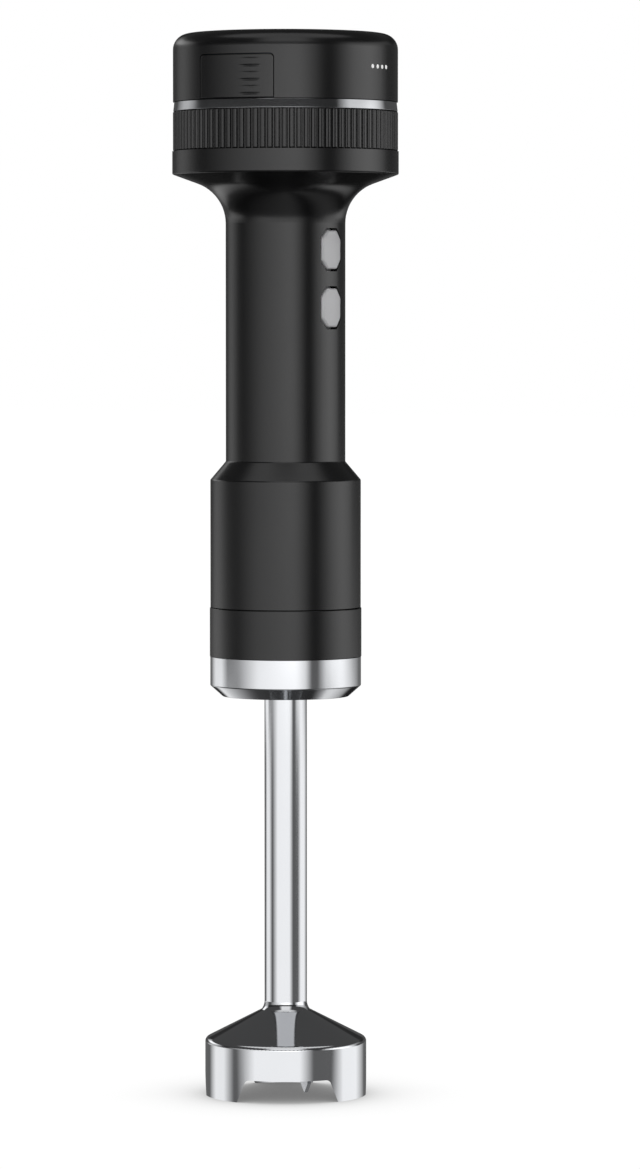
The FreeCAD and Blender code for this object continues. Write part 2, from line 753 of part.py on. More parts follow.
def make_rotor():
    """The spinning half of the motor, with the drive dog on its lower end."""
    low = size("motor_z")
    high = low + size("motor_length")
    shaft_r = size("shaft_radius")
    dog_low = size("spigot_top_z") - 2.5
    spun("motor_shaft", ring(0, shaft_r, dog_low, high + 8.0))
    core = new_body("armature_core")
    core_low, core_high = low + 10.0, high - 11.0
    spin_profile(core, ring(shaft_r, size("core_radius"), core_low, core_high))
    slot = [(8.0, -1.6), (14.6, -0.9), (14.6, 0.9), (8.0, 1.6)]
    slot_count = 8
    notch = pocket(core, "XY_Plane", [slot], core_high - core_low, offset=core_low)
    polar(core, [notch], slot_count)
    keep(core, "armature_core")
    winding = new_body("armature_winding")
    coil_inner, coil_outer, coil_round = 6.2, 12.6, 1.2
    coil_top, coil_foot = core_high + 3.6, core_low - 2.6
    spin_profile(winding, ring(coil_inner, coil_outer, core_high, coil_top))
    spin_profile(winding, ring(coil_inner, coil_outer, coil_foot, core_low))
    round_edges(winding, coil_round, [(coil_outer, coil_top), (coil_outer, coil_foot)])
    keep(winding, "armature_winding")
    commutator_radius = 6.0
    spun("commutator", ring(shaft_r, commutator_radius, high - 6.5, high - 0.6))
    make_dog("drive_coupling", dog_low, dog_low + 3.0, dog_low - 4.9, 90)


def make_dog(name, low, high, tip, turn):
    """One half of the two-jaw coupling: a disc with a hub on its shaft, and two jaws that reach to tip."""
    body = new_body(name)
    shaft_r, disc_r, hub_r, hub_height = size("shaft_radius"), size("jaw_outer") + 0.5, 4.4, 0.6
    points_down = tip.value < low.value
    hub_top = high + hub_height if points_down else high - hub_height
    spin_profile(body, ring(shaft_r, disc_r, low, high))
    spin_profile(body, ring(shaft_r, hub_r, low, hub_top))
    foot, reach = (tip, low - tip) if points_down else (high, tip - high)
    jaw_outline = sector(size("jaw_inner"), size("jaw_outer"), turn, size("jaw_half"))
    jaw = pad(body, "XY_Plane", [jaw_outline], reach, offset=foot)
    polar(body, [jaw], 2)
    keep(body, name)


# ---- Lock between the arm and the housing ----

def make_socket():
    """The socket in the housing's mouth, the ring that turns in it with the arm, and its long screws."""
    outer, low, lip = size("socket_radius"), size("housing_z") + 0.7, size("lip_z")
    bore = size("spigot_radius") + 0.4
    cavity, roof = size("lock_radius") + 0.2, size("motor_z") - 6.1
    top, drive_hole = roof + 2.1, 13.0
    socket = new_body("arm_socket")
    spin_profile(socket, [
        (bore, low), (outer, low), (outer, top), (drive_hole, top), (drive_hole, roof), (cavity, roof),
        (cavity, lip), (bore, lip),
    ])
    gate_inner, gate_outer = bore - 1.0, size("lug_radius") + size("slide_gap")
    gate = sector(gate_inner, gate_outer, 0, size("lug_half") + size("lug_gap"))
    slot = pocket(socket, "XY_Plane", [gate], lip - low, offset=low)
    polar(socket, [slot], 2)
    post = size("post_circle")
    recess_radius, recess_depth, head_radius = 1.7, 1.8, 1.6
    hole = pocket(socket, "XY_Plane", [(post, 0, size("pilot_radius"))], top - low, offset=low)
    recess = pocket(socket, "XY_Plane", [(post, 0, recess_radius)], recess_depth, offset=low)
    polar(socket, [hole, recess], 4)
    keep(socket, "arm_socket")
    screw_tip = size("motor_z") + 12.0
    make_screws("socket_screws", post, 0, head_radius, low + 0.2, low + recess_depth, screw_tip)

    lock = new_body("lock_ring")
    lock_low, lock_high = lip + size("slide_gap"), roof - 0.4
    spin_profile(lock, ring(bore, size("lock_radius"), lock_low, lock_high))
    play = 0.9
    gate = sector(gate_inner, gate_outer, 0, size("lug_half") + play)
    notch_height = 5.0
    notch = pocket(lock, "XY_Plane", [gate], notch_height, offset=lock_low)
    polar(lock, [notch], 2)
    keep(lock, "lock_ring")


# ---- Blending arm ----

def make_arm():
    """The arm that twists off: spigot hub, black collar, bright cup, steel tube with its bushes."""
    cup_r, cup_foot = size("cup_radius"), size("cup_foot_radius")
    cup_low, bevel, cup_high = size("cup_bottom_z"), size("cup_bevel_z"), size("cup_top_z")
    sheet, tube_r, top = size("sheet_wall"), size("tube_radius"), size("arm_top_z")
    hub_r, hub_low = cup_r - sheet, bevel + 0.4

    cup = new_body("arm_cup")
    spin_profile(cup, [
        (tube_r, cup_low), (cup_foot, cup_low), (cup_r, bevel), (cup_r, cup_high), (hub_r, cup_high),
        (hub_r, hub_low), (cup_foot - 0.4, cup_low + sheet), (tube_r, cup_low + sheet),
    ])
    cup_edge = 0.5
    round_edges(cup, cup_edge, [(cup_foot, cup_low), (cup_r, bevel)])
    keep(cup, "arm_cup")

    collar = new_body("arm_collar")
    collar_r, collar_edge = size("collar_radius"), 0.3
    spin_profile(collar, ring(hub_r, collar_r, cup_high, top))
    round_edges(collar, collar_edge, [(collar_r, top), (collar_r, cup_high)])
    keep(collar, "arm_collar")

    tube_top = top - 10.3
    make_hub(hub_r, hub_low, tube_top)
    flare_z, neck_r, neck_z = size("tube_flare_z"), size("bell_neck_radius"), size("bell_top_z")
    bore = tube_r - sheet
    tube_low = neck_z - 6.5
    spun("arm_tube", [
        (tube_r, tube_low), (tube_r, neck_z), (neck_r, neck_z), (tube_r, flare_z, -size("tube_flare_radius")),
        (tube_r, tube_top), (bore, tube_top), (bore, tube_low),
    ])
    bush_bore, bush_length, seal_height = size("shaft_radius") + size("running_gap"), 12.0, 4.5
    lower_bush_z = tube_low + seal_height
    spun("upper_bush", ring(bush_bore, bore, tube_top - bush_length, tube_top))
    spun("lower_bush", ring(bush_bore, bore, lower_bush_z, lower_bush_z + bush_length))
    lip_r, lip_low, lip_high = bush_bore + 0.02, tube_low + 1.0, tube_low + 1.8
    spun("shaft_seal", [
        (lip_r, lip_low), (bore, tube_low), (bore, lower_bush_z), (bush_bore + 2.0, lower_bush_z),
        (lip_r, lip_high),
    ])


def make_hub(hub_r, hub_low, tube_top):
    """The core of the arm: it holds the tube, and its spigot carries two lugs and a sealing ring."""
    top, tube_r = size("arm_top_z"), size("tube_radius")
    spigot_r, spigot_top = size("spigot_radius"), size("spigot_top_z")
    well_r, well_z, shaft_hole = size("jaw_outer") + 3.0, top - 3.9, size("shaft_radius") + 0.5
    groove_z, groove_width, groove_depth = top + 2.0, 1.2, 0.9
    groove_top, groove_r = groove_z + groove_width, spigot_r - groove_depth
    hub = new_body("arm_hub")
    spin_profile(hub, [
        (tube_r, hub_low), (hub_r, hub_low), (hub_r, top), (spigot_r, top), (spigot_r, groove_z),
        (groove_r, groove_z), (groove_r, groove_top), (spigot_r, groove_top), (spigot_r, spigot_top),
        (well_r, spigot_top), (well_r, well_z), (shaft_hole, well_z), (shaft_hole, tube_top),
        (tube_r, tube_top),
    ])
    lug_outline = sector(spigot_r - 0.5, size("lug_radius"), 0, size("lug_half"))
    lug_height = 3.2
    lug = pad(hub, "XY_Plane", [lug_outline], lug_height, offset=size("lip_z") + 0.8)
    polar(hub, [lug], 2)
    keep(hub, "arm_hub")

    seal = DOC.addObject("Part::Torus", "spigot_seal")
    seal.Label = "spigot_seal"
    bind(seal, "Radius1", spigot_r - 0.3)
    bind(seal, "Radius2", 0.55)
    bind(seal, ".Placement.Base.z", groove_z + groove_width / 2)
    SUBPARTS.append(seal)


def make_bell():
    """The steel guard round the blade, with three slanted windows cut into its rim."""
    bell_r, neck_r, sheet = size("bell_radius"), size("bell_neck_radius"), size("sheet_wall")
    tube_r, top, shoulder = size("tube_radius"), size("bell_top_z"), size("shoulder_z")
    slant = (top - shoulder) / (bell_r - neck_r)
    drop = sheet * 1.15
    body = new_body("bell_guard")
    spin_profile(body, [
        (bell_r, 0), (bell_r, shoulder), (neck_r, top), (tube_r, top), (tube_r, top - drop),
        (neck_r - 0.3, top - drop), (bell_r - sheet, shoulder - drop + slant * sheet), (bell_r - sheet, 0),
    ])
    shoulder_round = 2.0
    round_edges(body, shoulder_round, [(bell_r, shoulder)])
    foot_x = bell_r * sine(size("window_foot_half"))
    head_x = bell_r * sine(size("window_head_half"))
    window_top = size("window_top_z")
    below = 1.0
    corner, corner_cut, corner_fall = 2.0, 1.37, 1.28
    side_x = head_x + (foot_x - head_x) / (window_top + below) * corner_fall
    side_z = window_top - corner_fall
    foot = [(-foot_x, -below), (foot_x, -below)]
    head = [(head_x - corner_cut, window_top, corner), (corner_cut - head_x, window_top)]
    window = foot + [(side_x, side_z)] + head + [(-side_x, side_z, corner)]
    cut = pocket(body, "XZ_Plane", [window], bell_r + 2, turn=size("window_turn") - 270)
    polar(body, [cut], 3)
    keep(body, "bell_guard")


def make_blade_shaft():
    """The long shaft in the arm, with its half of the coupling, the two-winged blade and its nut."""
    shaft_r, top = size("shaft_radius"), size("arm_top_z")
    thick, blade_z, reach = size("blade_thickness"), size("blade_z"), size("blade_reach")
    blade_top = blade_z + thick
    nut_height, thread_end, spacer_r = 2.5, 0.4, 6.0
    nut_z = blade_z - nut_height
    spun("drive_shaft", ring(0, shaft_r, nut_z - thread_end, top + 2.2))
    make_dog("driven_coupling", top - 2.4, top + 0.6, top + 5.7, 0)
    spun("blade_spacer", ring(shaft_r, spacer_r, blade_top, size("bell_top_z") - 7.0))
    nut = new_body("blade_nut")
    nut_corner = as_size(4.4)
    hexagon = [at_angle(nut_corner, 60 * index) for index in range(6)]
    pad(nut, "XY_Plane", [hexagon], nut_height, offset=nut_z)
    pocket(nut, "XY_Plane", [(0, 0, shaft_r)], nut_height, offset=nut_z)
    keep(nut, "blade_nut")

    blade = new_body("blade")
    wing = [(reach, -3.4), (reach - 1.5, 4.6), (5.0, 5.6), (-5.0, 5.6)]
    opposite = [(-as_size(x), -as_size(y)) for x, y in wing]
    pad(blade, "XY_Plane", [wing + opposite], thick, offset=blade_z)
    outer, tip_z = reach - 1.0, 2.7
    fang = [(outer, blade_top), (outer, tip_z + 3.6), (reach - 3.2, tip_z), (reach - 7.5, blade_z)]
    down = pad(blade, "XZ_Plane", [fang], thick, offset=1.8)
    polar(blade, [down], 2)
    pocket(blade, "XY_Plane", [(0, 0, shaft_r)], thick, offset=blade_z)
    keep(blade, "blade", size("blade_turn"))


# ---- Battery pack ----

def make_pack():
    """The battery pack: shell and floor, held together by screws, round the cells and the terminals."""
    turn = size("head_turn")
    floor_top = size("pack_z") + 2.5
    make_pack_shell(floor_top, turn)
    make_pack_floor(floor_top, turn)
    make_cells(floor_top, turn)
    make_lights(turn)
    make_terminals(floor_top, turn)
    screws = new_body("pack_screws")
    head_height, shank_length, head_radius = 1.6, 12.0, 2.0
    for place in PACK_SCREW_TURNS:
        middle = at_angle(size("pack_screw_circle"), place)
        pad(screws, "XY_Plane", [(*middle, head_radius)], head_height, offset=size("pack_z") - head_height)
        pad(screws, "XY_Plane", [(*middle, size("pilot_radius"))], shank_length, offset=size("pack_z"))
    keep(screws, "pack_screws", turn)


def make_pack_shell(floor_top, turn):
    """The outer moulding of the pack, with screw posts, the release's opening and four light holes."""
    outer, wall = size("pack_radius"), size("pack_wall")
    low, high = size("pack_z"), size("pack_top_z")
    inner, roof, step_r, step_z = outer - wall, high - wall, size("floor_radius") + 0.1, low + 2.0
    inner_cut, seam_turn = 3.0, 110
    shell = new_body("pack_shell")
    spin_profile(shell, [
        (0, high), (0, roof), (inner - inner_cut, roof), (inner, roof - inner_cut), (inner, step_z),
        (step_r, step_z), (step_r, low), (outer, low), (outer, high),
    ], turn=seam_turn)
    round_edges(shell, size("pack_round"), [(outer, high)])
    post_radius, pilot_depth = 2.6, 12.0
    for post_turn in PACK_SCREW_TURNS:
        middle = at_angle(size("pack_screw_circle"), post_turn)
        shell.Tip = pad(shell, "XY_Plane", [(*middle, post_radius)], roof - floor_top, offset=floor_top)
        pocket(shell, "XY_Plane", [(*middle, size("pilot_radius"))], pilot_depth, offset=floor_top)
    gap, through = 0.2, 8.0
    half, head = size("release_half_width") + gap, size("release_top_z") + gap
    opening = arched_box(half, low - 1.0, head, RELEASE_CORNER)
    opening_back = size("release_back_y") - size("release_travel") - 2 * gap
    pocket(shell, "XZ_Plane", [opening], through, offset=opening_back)
    light = (0, size("light_z"), size("light_radius"))
    hole = pocket(shell, "XZ_Plane", [light], through, offset=inner - 1, turn=size("light_turn"))
    polar(shell, [hole], 4, size("light_pitch") * 3)
    keep(shell, "pack_shell", turn)


def make_pack_floor(floor_top, turn):
    """The pack's floor, with the ring that plugs into the neck and the slots for contacts and tongue."""
    low, plug_r, floor_r = size("pack_z"), size("plug_radius"), size("floor_radius")
    plug_inner, plug_low = 31.5, size("trim_z") + 0.8
    plug_height, through = low - plug_low, 6.0
    floor = new_body("pack_floor")
    spin_profile(floor, [
        (0, floor_top), (0, low), (plug_inner, low), (plug_inner, plug_low), (plug_r, plug_low),
        (plug_r, low), (floor_r, low), (floor_r, floor_top),
    ])
    recess_radius, contact_play = 2.2, 0.5
    for place in PACK_SCREW_TURNS:
        middle = at_angle(size("pack_screw_circle"), place)
        pocket(floor, "XY_Plane", [(*middle, size("pilot_radius"))], through, offset=plug_low)
        pocket(floor, "XY_Plane", [(*middle, recess_radius)], plug_height, offset=plug_low)
    for middle in CONTACT_PLACES:
        pocket(floor, "XY_Plane", [blade_outline(middle, contact_play)], through, offset=plug_low)
    block_room = [(-33.6, -9.6), (-26.0, -9.6), (-26.0, 9.6), (-33.6, 9.6)]
    pocket(floor, "XY_Plane", [block_room], plug_height, offset=plug_low)
    release_room = [(-16.2, -44.0), (16.2, -44.0), (16.2, -36.3), (-16.2, -36.3)]
    tongue_room = [(-6.4, -44.0), (6.4, -44.0), (6.4, -29.4), (-6.4, -29.4)]
    for room in (release_room, tongue_room):
        pocket(floor, "XY_Plane", [room], through, offset=plug_low)
    keep(floor, "pack_floor", turn)


def make_cells(floor_top, turn):
    """Three cells lying side by side in a cradle."""
    cradle = new_body("cell_cradle")
    front, back, half_x = -28.2, 30.4, size("cell_length") / 2
    base = [(-half_x, front), (half_x, front), (half_x, back), (-half_x, back)]
    pad(cradle, "XY_Plane", [base], size("cell_z") - 2.0 - floor_top, offset=floor_top)
    rows = [(row, size("cell_z"), size("cell_radius")) for row in CELL_ROWS]
    for row in rows:
        pocket(cradle, "YZ_Plane", [row], size("cell_length"), offset=-half_x)
    keep(cradle, "cell_cradle", turn)
    cells = new_body("battery_cells")
    pad(cells, "YZ_Plane", rows, size("cell_length"), offset=-half_x)
    keep(cells, "battery_cells", turn)


def make_lights(turn):
    """The charge gauge: a small board, and four light pipes that end flush in the shell."""
    light_z, pitch = size("light_z"), size("light_pitch")
    half_width, board_thick, board_y = 8.5, 1.2, 36.0
    board_turn = size("light_turn") + pitch * 1.5
    board = new_body("gauge_board")
    outline = box_outline(half_width, light_z - 7, light_z + 5)
    pad(board, "XZ_Plane", [outline], board_thick, offset=board_y, turn=board_turn)
    keep(board, "gauge_board", turn)
    pipe_y = 38.2
    pipe_length = size("pack_radius") + 0.05 - pipe_y
    pipe_outline = (0, light_z, size("light_radius"))
    lights = new_body("charge_lights")
    pipe = pad(lights, "XZ_Plane", [pipe_outline], pipe_length, offset=pipe_y, turn=size("light_turn"))
    polar(lights, [pipe], 4, pitch * 3)
    keep(lights, "charge_lights", turn)


def make_terminals(floor_top, turn):
    """Three sprung clips in the pack, each with two leaves that grip one contact blade."""
    near, far, leaf_height, bridge_height = 0.65, 1.15, 6.0, 0.5
    clips = new_body("pack_terminals")
    for middle in CONTACT_PLACES:
        for low_y, high_y in ((middle - far, middle - near), (middle + near, middle + far)):
            leaf = [(-32.0, low_y), (-28.0, low_y), (-28.0, high_y), (-32.0, high_y)]
            pad(clips, "XY_Plane", [leaf], leaf_height, offset=floor_top)
        low_y, high_y = middle - far, middle + far
        bridge = [(-32.0, low_y), (-28.0, low_y), (-28.0, high_y), (-32.0, high_y)]
        pad(clips, "XY_Plane", [bridge], bridge_height, offset=floor_top + leaf_height)
    keep(clips, "pack_terminals", turn)


def make_release():
    """The ribbed button that frees the pack, its tongue, and the coil spring that returns it."""
    turn = size("head_turn")
    back, low, high = size("release_back_y"), size("pack_z") + 0.1, size("release_top_z")
    face_r, beyond = size("pack_radius"), 60.0
    button = new_body("release_button")
    plate = arched_box(size("release_half_width"), low, high, RELEASE_CORNER)
    blank_depth = 8.0
    pad(button, "XZ_Plane", [plate], blank_depth, offset=back)
    spin_profile(button, ring(face_r, beyond, low - 2, high + 2), "PartDesign::Groove")
    half_tongue, tongue_y, tongue_top, hook_low, hook_thick = 5.0, 31.8, low + 4.7, low - 2.4, 1.8
    tongue = box_outline(half_tongue, tongue_top - hook_thick, tongue_top)
    pad(button, "XZ_Plane", [tongue], back - tongue_y, offset=tongue_y)
    pad(button, "XZ_Plane", [box_outline(half_tongue, hook_low, tongue_top)], hook_thick, offset=tongue_y)
    ridge_count, ridge_width, ridge_rise, ridge_root, ridge_sweep = 6, 0.9, 0.25, 0.3, 27
    for step in range(ridge_count):
        ridge_z = low + 1.1 + size("ridge_pitch") * step
        ridge = ring(face_r - ridge_root, face_r + ridge_rise, ridge_z, ridge_z + ridge_width)
        spin_profile(button, ridge, sweep=ridge_sweep, turn=-90)
    keep(button, "release_button", turn)

    spring = new_body("release_spring")
    wire_r, coil_r, turns = 0.35, 2.6, 5
    spring_back, spring_front, spring_z = 28.4, back - 0.1, high - 5.7
    travel = spring_front - spring_back - 2 * wire_r
    coil = spring.newObject("PartDesign::AdditiveHelix", "release_spring_coil")
    wire = (coil_r, -(spring_front - wire_r), wire_r)
    coil.Profile = new_sketch(spring, "XY_Plane", [wire], offset=spring_z)
    coil.ReferenceAxis = (coil.Profile[0], ["V_Axis"])
    coil.Mode = 0
    bind(coil, "Pitch", travel / turns)
    bind(coil, "Height", travel)
    keep(spring, "release_spring", turn)


def check_document():
    """Stop if any object failed or any sub-part is empty or invalid."""
    DOC.recompute()
    for thing in DOC.Objects:
        if "Invalid" in thing.State or "Error" in thing.State:
            raise RuntimeError(f"{thing.Label} is {thing.State}")
    for part in SUBPARTS:
        if part.Shape.isNull() or not part.Shape.isValid() or not part.Shape.Solids:
            raise RuntimeError(f"{part.Label} has no valid solid")


def write_parts():
    os.makedirs("parts", exist_ok=True)
    for part in SUBPARTS:
        part.Shape.exportStep(os.path.join("parts", f"{part.Label}.step"))


def main():
    make_main_housing()
    make_head()
    make_dial()
    make_button("start", "start_z")
    make_button("turbo", "turbo_z")
    make_switches()
    make_motor()
    make_rotor()
    make_socket()
    make_arm()
    make_bell()
    make_blade_shaft()
    make_pack()
    make_release()
    check_document()
    write_parts()


main()
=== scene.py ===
import json
import math

import bmesh
import bpy
from mathutils import Matrix, Vector

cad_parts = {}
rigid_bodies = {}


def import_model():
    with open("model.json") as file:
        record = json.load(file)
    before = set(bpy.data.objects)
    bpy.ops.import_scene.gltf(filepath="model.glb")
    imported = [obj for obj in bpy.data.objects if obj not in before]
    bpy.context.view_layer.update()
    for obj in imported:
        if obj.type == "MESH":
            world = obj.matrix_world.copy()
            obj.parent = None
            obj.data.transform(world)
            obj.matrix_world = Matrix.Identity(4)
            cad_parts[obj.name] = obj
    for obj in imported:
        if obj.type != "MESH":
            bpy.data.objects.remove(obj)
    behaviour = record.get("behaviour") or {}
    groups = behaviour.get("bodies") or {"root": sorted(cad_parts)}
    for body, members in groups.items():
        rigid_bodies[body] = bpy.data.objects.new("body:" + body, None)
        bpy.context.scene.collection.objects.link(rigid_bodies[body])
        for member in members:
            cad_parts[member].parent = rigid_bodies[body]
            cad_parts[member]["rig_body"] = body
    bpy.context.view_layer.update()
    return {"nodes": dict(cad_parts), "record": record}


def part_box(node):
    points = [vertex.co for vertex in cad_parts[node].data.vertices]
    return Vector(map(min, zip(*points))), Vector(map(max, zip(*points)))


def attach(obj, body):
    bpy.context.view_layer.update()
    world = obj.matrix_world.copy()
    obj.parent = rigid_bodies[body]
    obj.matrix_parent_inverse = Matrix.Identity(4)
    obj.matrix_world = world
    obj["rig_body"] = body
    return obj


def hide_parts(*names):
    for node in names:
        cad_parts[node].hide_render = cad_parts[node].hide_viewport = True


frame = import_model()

NODES = frame["nodes"]
MM = 0.001

# The view: the camera stands off to the left of the push buttons, a little above the middle of the tool.
CAMERA_AZIMUTH = -50.5
CAMERA_DISTANCE = 2.04
CAMERA_HEIGHT = 0.294
AIM_HEIGHT = 0.195
AIM_RIGHT = 0.0131
LENS = 165.0
SENSOR_WIDTH = 36.0


# ---- Studio ----

def make_camera():
    turn = math.radians(CAMERA_AZIMUTH)
    outward = Vector((math.sin(turn), -math.cos(turn), 0))
    right = Vector((math.cos(turn), math.sin(turn), 0))
    place = outward * CAMERA_DISTANCE + Vector((0, 0, CAMERA_HEIGHT))
    aim = right * AIM_RIGHT + Vector((0, 0, AIM_HEIGHT))
    data = bpy.data.cameras.new("camera")
    data.lens = LENS
    data.sensor_width = SENSOR_WIDTH
    data.clip_start = 0.05
    data.clip_end = 100.0
    camera = bpy.data.objects.new("camera", data)
    camera.location = place
    camera.rotation_euler = (aim - place).to_track_quat("-Z", "Y").to_euler()
    bpy.context.scene.collection.objects.link(camera)
    bpy.context.scene.camera = camera


class Graph:
    """A short way to write a node tree."""

    def __init__(self, tree):
        self.tree = tree
        tree.nodes.clear()

    def node(self, kind, inputs=None, **settings):
        made = self.tree.nodes.new(kind)
        for name, value in settings.items():
            setattr(made, name, value)
        for name, value in (inputs or {}).items():
            self.feed(made.inputs[name], value)
        return made

    def feed(self, socket, value):
        if isinstance(value, bpy.types.NodeSocket):
            self.tree.links.new(value, socket)
        else:
            socket.default_value = value

    def math(self, operation, *values):
        made = self.node("ShaderNodeMath", operation=operation)
        for socket, value in zip(made.inputs, values):
            self.feed(socket, value)
        return made.outputs[0]

    def blend(self, factor, start, finish):
        """A colour that goes from start to finish as factor goes from 0 to 1."""
        made = self.node("ShaderNodeMix", {"Factor": factor}, data_type="RGBA")
        for socket, value in zip([one for one in made.inputs if one.type == "RGBA"], (start, finish)):
            self.feed(socket, value)
        return made.outputs[2]

    def pick(self, factor, first, second):
        """One shader where factor is 0, the other where it is 1."""
        made = self.node("ShaderNodeMixShader", {"Fac": factor})
        self.tree.links.new(first, made.inputs[1])
        self.tree.links.new(second, made.inputs[2])
        return made.outputs[0]

    def ramp(self, factor, stops):
        made = self.node("ShaderNodeValToRGB", {"Fac": factor})
        elements = made.color_ramp.elements
        while len(elements) < len(stops):
            elements.new(0.5)
        for element, (position, colour) in zip(elements, stops):
            element.position = position
            element.color = colour if isinstance(colour, tuple) else (colour, colour, colour, 1)
        return made.outputs["Color"]


# Soft boxes stand round the tool. Each is four angles and a brightness: where it begins, is full, starts to
# fade and has gone, in degrees from the camera, anticlockwise seen from above. All are set in round numbers.
BELL_BOXES = [(-140, -120, -100, -80, 0.8), (-75, -45, 20, 40, 0.85), (70, 90, 120, 150, 0.85)]
CUP_BOXES = [(-155, -135, -115, -100, 0.85), (-100, -40, 30, 40, 0.9), (50, 65, 100, 150, 0.85)]
MOULDING_BOXES = [(-150, -130, -120, -100, 0.4), (-90, 5, 15, 40, 1.4), (50, 75, 95, 125, 1.3)]
TRIM_BOXES = [(-165, -145, -130, -105, 1.0), (55, 70, 100, 145, 0.55)]
SHOULDER_BOXES = [(-35, -20, 20, 35, 0.7)]
TOP_BOXES = [(-110, -95, 95, 105, 0.6)]
# The rings lie one over the other: (starts at, is full at, its boxes, brightness between them). The heights
# are the upward part of the direction.
LOWEST_RING = (BELL_BOXES, 0.1)
MOULDING_RING = (MOULDING_BOXES, 0.06)
HIGHER_RINGS = [
    (-0.08, -0.07, CUP_BOXES, 0.12),
    (-0.06, -0.05, *MOULDING_RING),
    (0.15, 0.2, TRIM_BOXES, 0.02),
    (0.33, 0.38, SHOULDER_BOXES, 0.05),
    (0.72, 0.8, TOP_BOXES, 0.05),
]
# Two patches low behind the tool light the cup's bevel. Across, they are boxes like the others. Downwards,
# the same five numbers go by the steepness of the way down.
PATCHES_ACROSS = [(-165, -160, -140, -135, 1), (135, 140, 155, 160, 1)]
LEFT_PATCH = [(0.1, 0.45, 0.5, 0.9, 0.7)]
RIGHT_PATCH = [(0.4, 0.75, 0.8, 0.9, 0.65)]
PATCH_DARK = 0.03
GROUND_STARTS = -0.2
GROUND_FULL = -0.24
GROUND_SHARE = 0.17
BRIGHTEST = 1.5
STUDIO_STRENGTH = 1.5
BLACK = (0, 0, 0, 1)
WHITE = (1, 1, 1, 1)


def box_stops(boxes, dark):
    """The places and levels along a ramp that rises to each box and falls again."""
    stops = []
    for begins, full, fades, gone, level in boxes:
        stops += [(begins, dark), (full, level), (fades, level), (gone, dark)]
    return stops


def make_world():
    """Rings of soft boxes in the world, a faint ground under them, and a white backdrop for the camera."""
    world = bpy.data.worlds.new("studio")
    bpy.context.scene.world = world
    world.use_nodes = True
    graph = Graph(world.node_tree)
    direction = graph.node("ShaderNodeTexCoord").outputs["Generated"]
    parts = graph.node("ShaderNodeSeparateXYZ", {"Vector": direction})
    upward = parts.outputs["Z"]
    polar = graph.math("ARCTAN2", parts.outputs["Y"], parts.outputs["X"])
    turned = graph.math("SUBTRACT", polar, math.radians(CAMERA_AZIMUTH - 90))
    around = graph.math("FRACT", graph.math("ADD", graph.math("DIVIDE", turned, 2 * math.pi), 0.5))

    def ring(boxes, dark, full_scale=BRIGHTEST):
        stops = box_stops(boxes, dark)
        return graph.ramp(around, [((angle + 180) / 360, level / full_scale) for angle, level in stops])

    def patch(boxes):
        steepness = graph.math("MULTIPLY", upward, -1)
        stops = box_stops(boxes, PATCH_DARK)
        return graph.ramp(steepness, [(place, level / BRIGHTEST) for place, level in stops])

    def crossing(low, high):
        made = graph.node("ShaderNodeMapRange", {"Value": upward, "From Min": low, "From Max": high},
                          interpolation_type="SMOOTHSTEP")
        return made.outputs["Result"]

    above = ring(*LOWEST_RING)
    for starts, full, boxes, dark in HIGHER_RINGS:
        above = graph.blend(crossing(starts, full), above, ring(boxes, dark))
    on_right = graph.math("GREATER_THAN", around, 0.5)
    patches = graph.blend(on_right, patch(LEFT_PATCH), patch(RIGHT_PATCH))
    ground = graph.blend(GROUND_SHARE, BLACK, ring(*MOULDING_RING))
    below = graph.blend(ring(PATCHES_ACROSS, 0, 1), ground, patches)
    whole = graph.blend(crossing(GROUND_FULL, GROUND_STARTS), below, above)
    studio = graph.node("ShaderNodeBackground", {"Color": whole, "Strength": STUDIO_STRENGTH * BRIGHTEST})
    backdrop = graph.node("ShaderNodeBackground", {"Color": WHITE, "Strength": 1.0})
    seen = graph.node("ShaderNodeLightPath").outputs["Is Camera Ray"]
    surface = graph.pick(seen, studio.outputs[0], backdrop.outputs[0])
    graph.node("ShaderNodeOutputWorld", {"Surface": surface})


def make_floor():
    """A white floor with a soft contact shadow. No reflection shows it, and it is clear from below."""
    mesh = bpy.data.meshes.new("studio_floor")
    reach = 12.0
    shadow_reach = 0.09
    mesh.from_pydata([(-reach, -reach, 0), (reach, -reach, 0), (reach, reach, 0), (-reach, reach, 0)], [],
                     [(0, 1, 2, 3)])
    floor = bpy.data.objects.new("studio_floor", mesh)
    bpy.context.scene.collection.objects.link(floor)
    material = bpy.data.materials.new("studio_floor")
    material.use_nodes = True
    graph = Graph(material.node_tree)
    openness = graph.node("ShaderNodeAmbientOcclusion", {"Distance": shadow_reach}, samples=16).outputs["AO"]
    shade = graph.ramp(openness, [(0.0, 0.16), (0.35, 0.4), (0.7, 0.78), (0.93, 0.97), (1.0, 1.0)])
    lit = graph.node("ShaderNodeEmission", {"Color": shade, "Strength": 1.02})
    dim = graph.node("ShaderNodeBsdfDiffuse", {"Color": (0.5, 0.5, 0.5, 1)})
    seen = graph.node("ShaderNodeLightPath").outputs["Is Camera Ray"]
    underneath = graph.node("ShaderNodeNewGeometry").outputs["Backfacing"]
    clear = graph.node("ShaderNodeBsdfTransparent")
    above = graph.pick(seen, dim.outputs[0], lit.outputs[0])
    surface = graph.pick(underneath, above, clear.outputs[0])
    graph.node("ShaderNodeOutputMaterial", {"Surface": surface})
    mesh.materials.append(material)
    floor.visible_glossy = False


# ---- Materials ----

def new_material(name):
    material = bpy.data.materials.new(name)
    material.use_nodes = True
    return material, Graph(material.node_tree)


def object_place(graph, scale=(1, 1, 1)):
    """Object coordinates in metres, stretched by scale."""
    place = graph.node("ShaderNodeTexCoord").outputs["Object"]
    return graph.node("ShaderNodeMapping", {"Vector": place, "Scale": scale}).outputs["Vector"]


